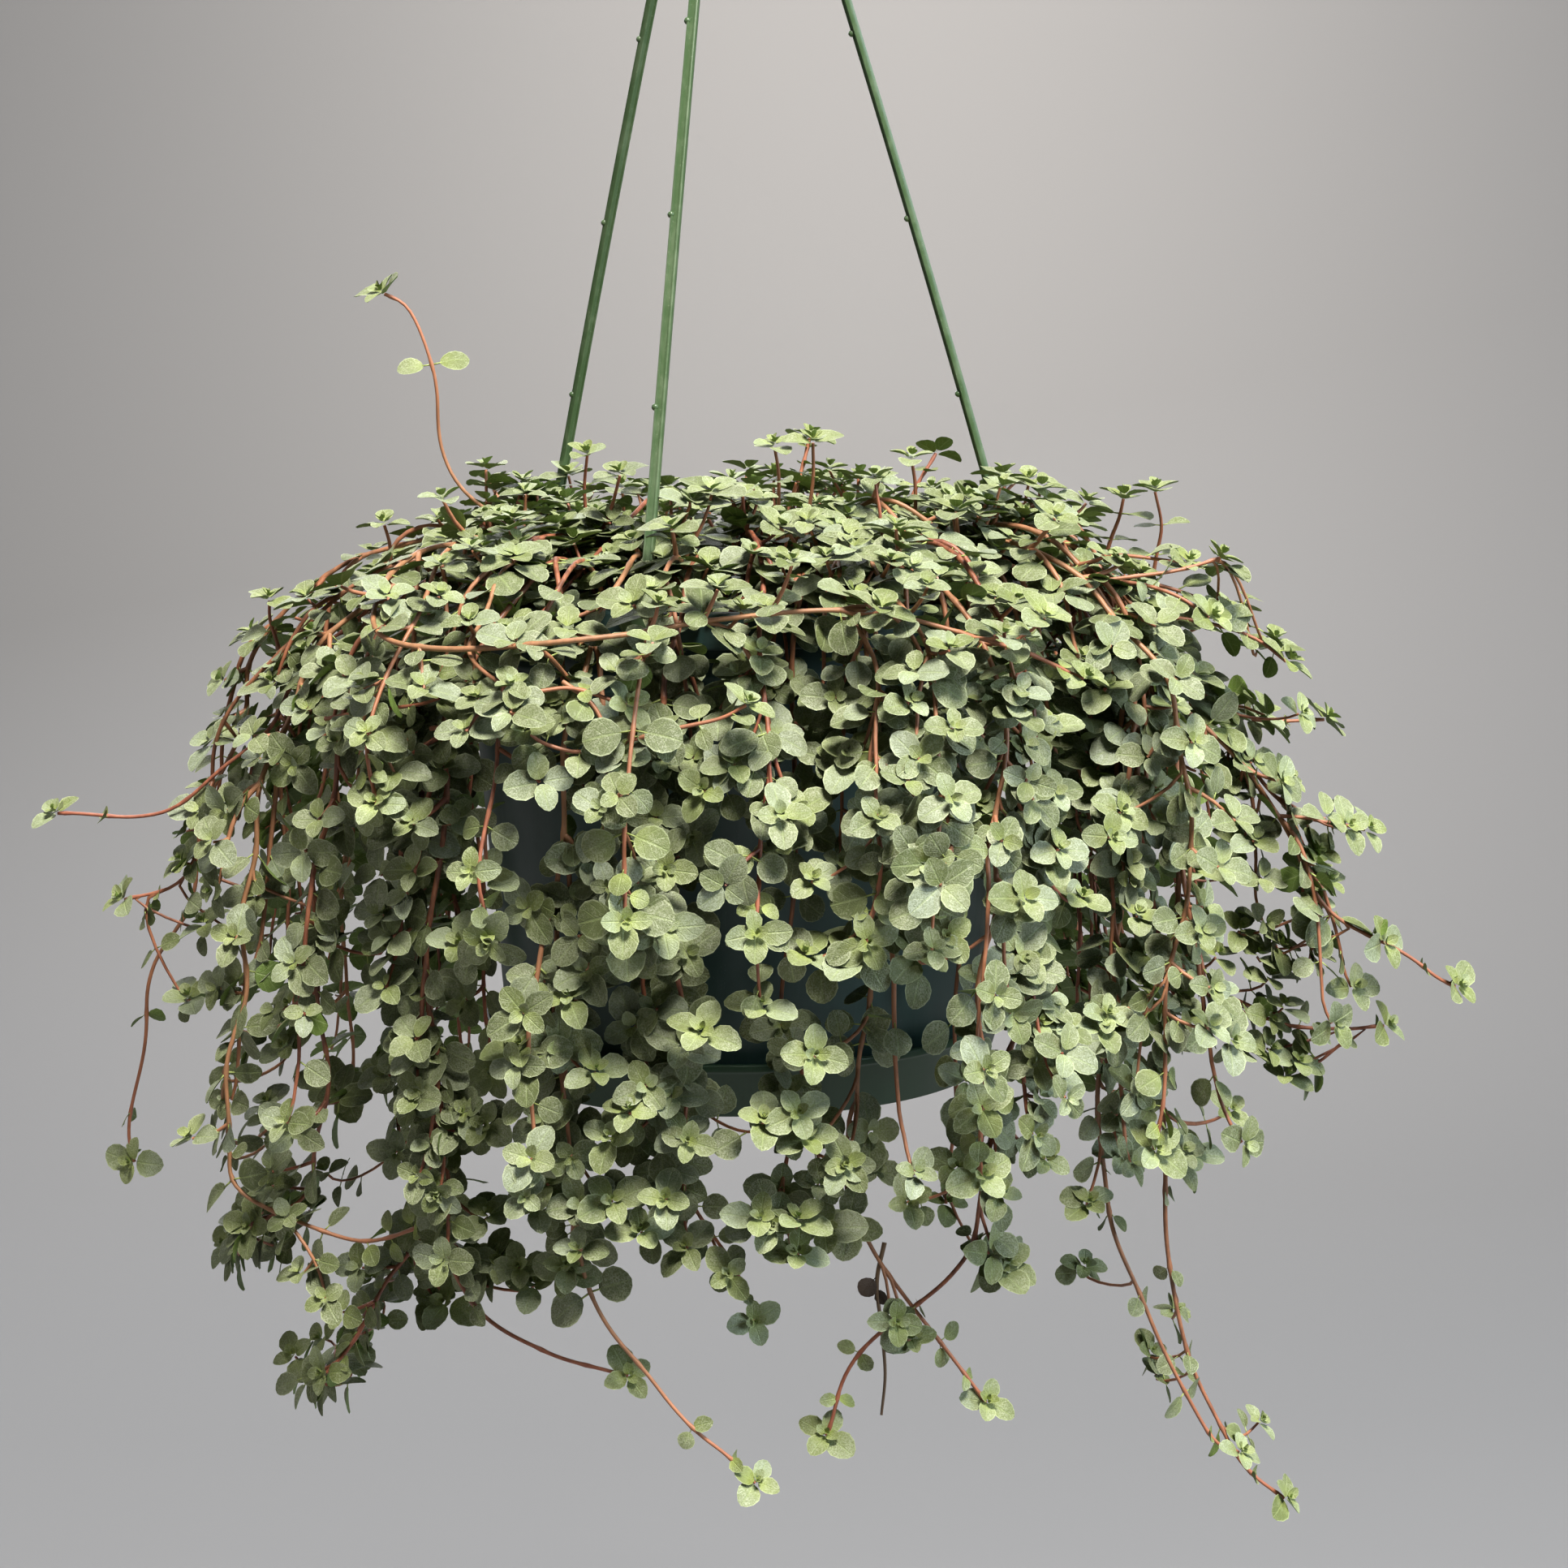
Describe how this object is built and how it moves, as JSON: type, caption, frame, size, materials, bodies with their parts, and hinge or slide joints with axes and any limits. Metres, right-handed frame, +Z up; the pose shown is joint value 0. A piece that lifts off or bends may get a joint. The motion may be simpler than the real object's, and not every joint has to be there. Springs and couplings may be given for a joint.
{
  "type": "hanging basket plant",
  "caption": "Trailing pilea with small silvery round leaves, in a tapered round pot with saucer, held up by a moulded strand hanger with a hook.",
  "frame": {"origin": "highest point inside the hook, where the basket hangs", "axes": "+Z up along the hang line, +X to the viewer's right, +Y away from the viewer"},
  "size_m": [0.3726, 0.2951, 0.5436],
  "materials": {
    "hanger": "satin moulded green polypropylene",
    "pot": "satin moulded blue-green plastic",
    "saucer": "satin moulded dark green plastic",
    "soil": "damp crumbly peat",
    "foliage": "dull silvery green leaves on red-brown stems"
  },
  "bodies": {
    "root": {"hanger": "hanger", "pot": "pot", "saucer": "saucer", "soil": "soil", "vine_01": "foliage", "vine_02": "foliage", "vine_03": "foliage", "vine_04": "foliage", "vine_05": "foliage", "vine_06": "foliage", "vine_07": "foliage", "vine_08": "foliage", "vine_09": "foliage", "vine_10": "foliage", "vine_11": "foliage", "vine_12": "foliage", "vine_13": "foliage", "vine_14": "foliage", "vine_15": "foliage", "vine_16": "foliage", "vine_17": "foliage", "vine_18": "foliage", "vine_19": "foliage", "vine_20": "foliage", "vine_21": "foliage", "vine_22": "foliage", "vine_23": "foliage", "vine_24": "foliage", "vine_25": "foliage", "vine_26": "foliage", "vine_27": "foliage", "vine_28": "foliage", "vine_29": "foliage", "vine_30": "foliage", "vine_31": "foliage", "vine_32": "foliage", "vine_33": "foliage", "vine_34": "foliage", "vine_35": "foliage", "vine_36": "foliage", "vine_37": "foliage", "vine_38": "foliage", "vine_39": "foliage", "vine_40": "foliage", "vine_41": "foliage", "vine_42": "foliage", "vine_43": "foliage", "vine_44": "foliage", "vine_45": "foliage", "vine_46": "foliage", "vine_47": "foliage", "vine_48": "foliage", "vine_49": "foliage", "vine_50": "foliage", "vine_51": "foliage", "vine_52": "foliage", "vine_53": "foliage", "vine_54": "foliage", "vine_55": "foliage"}
  },
  "joints": []
}
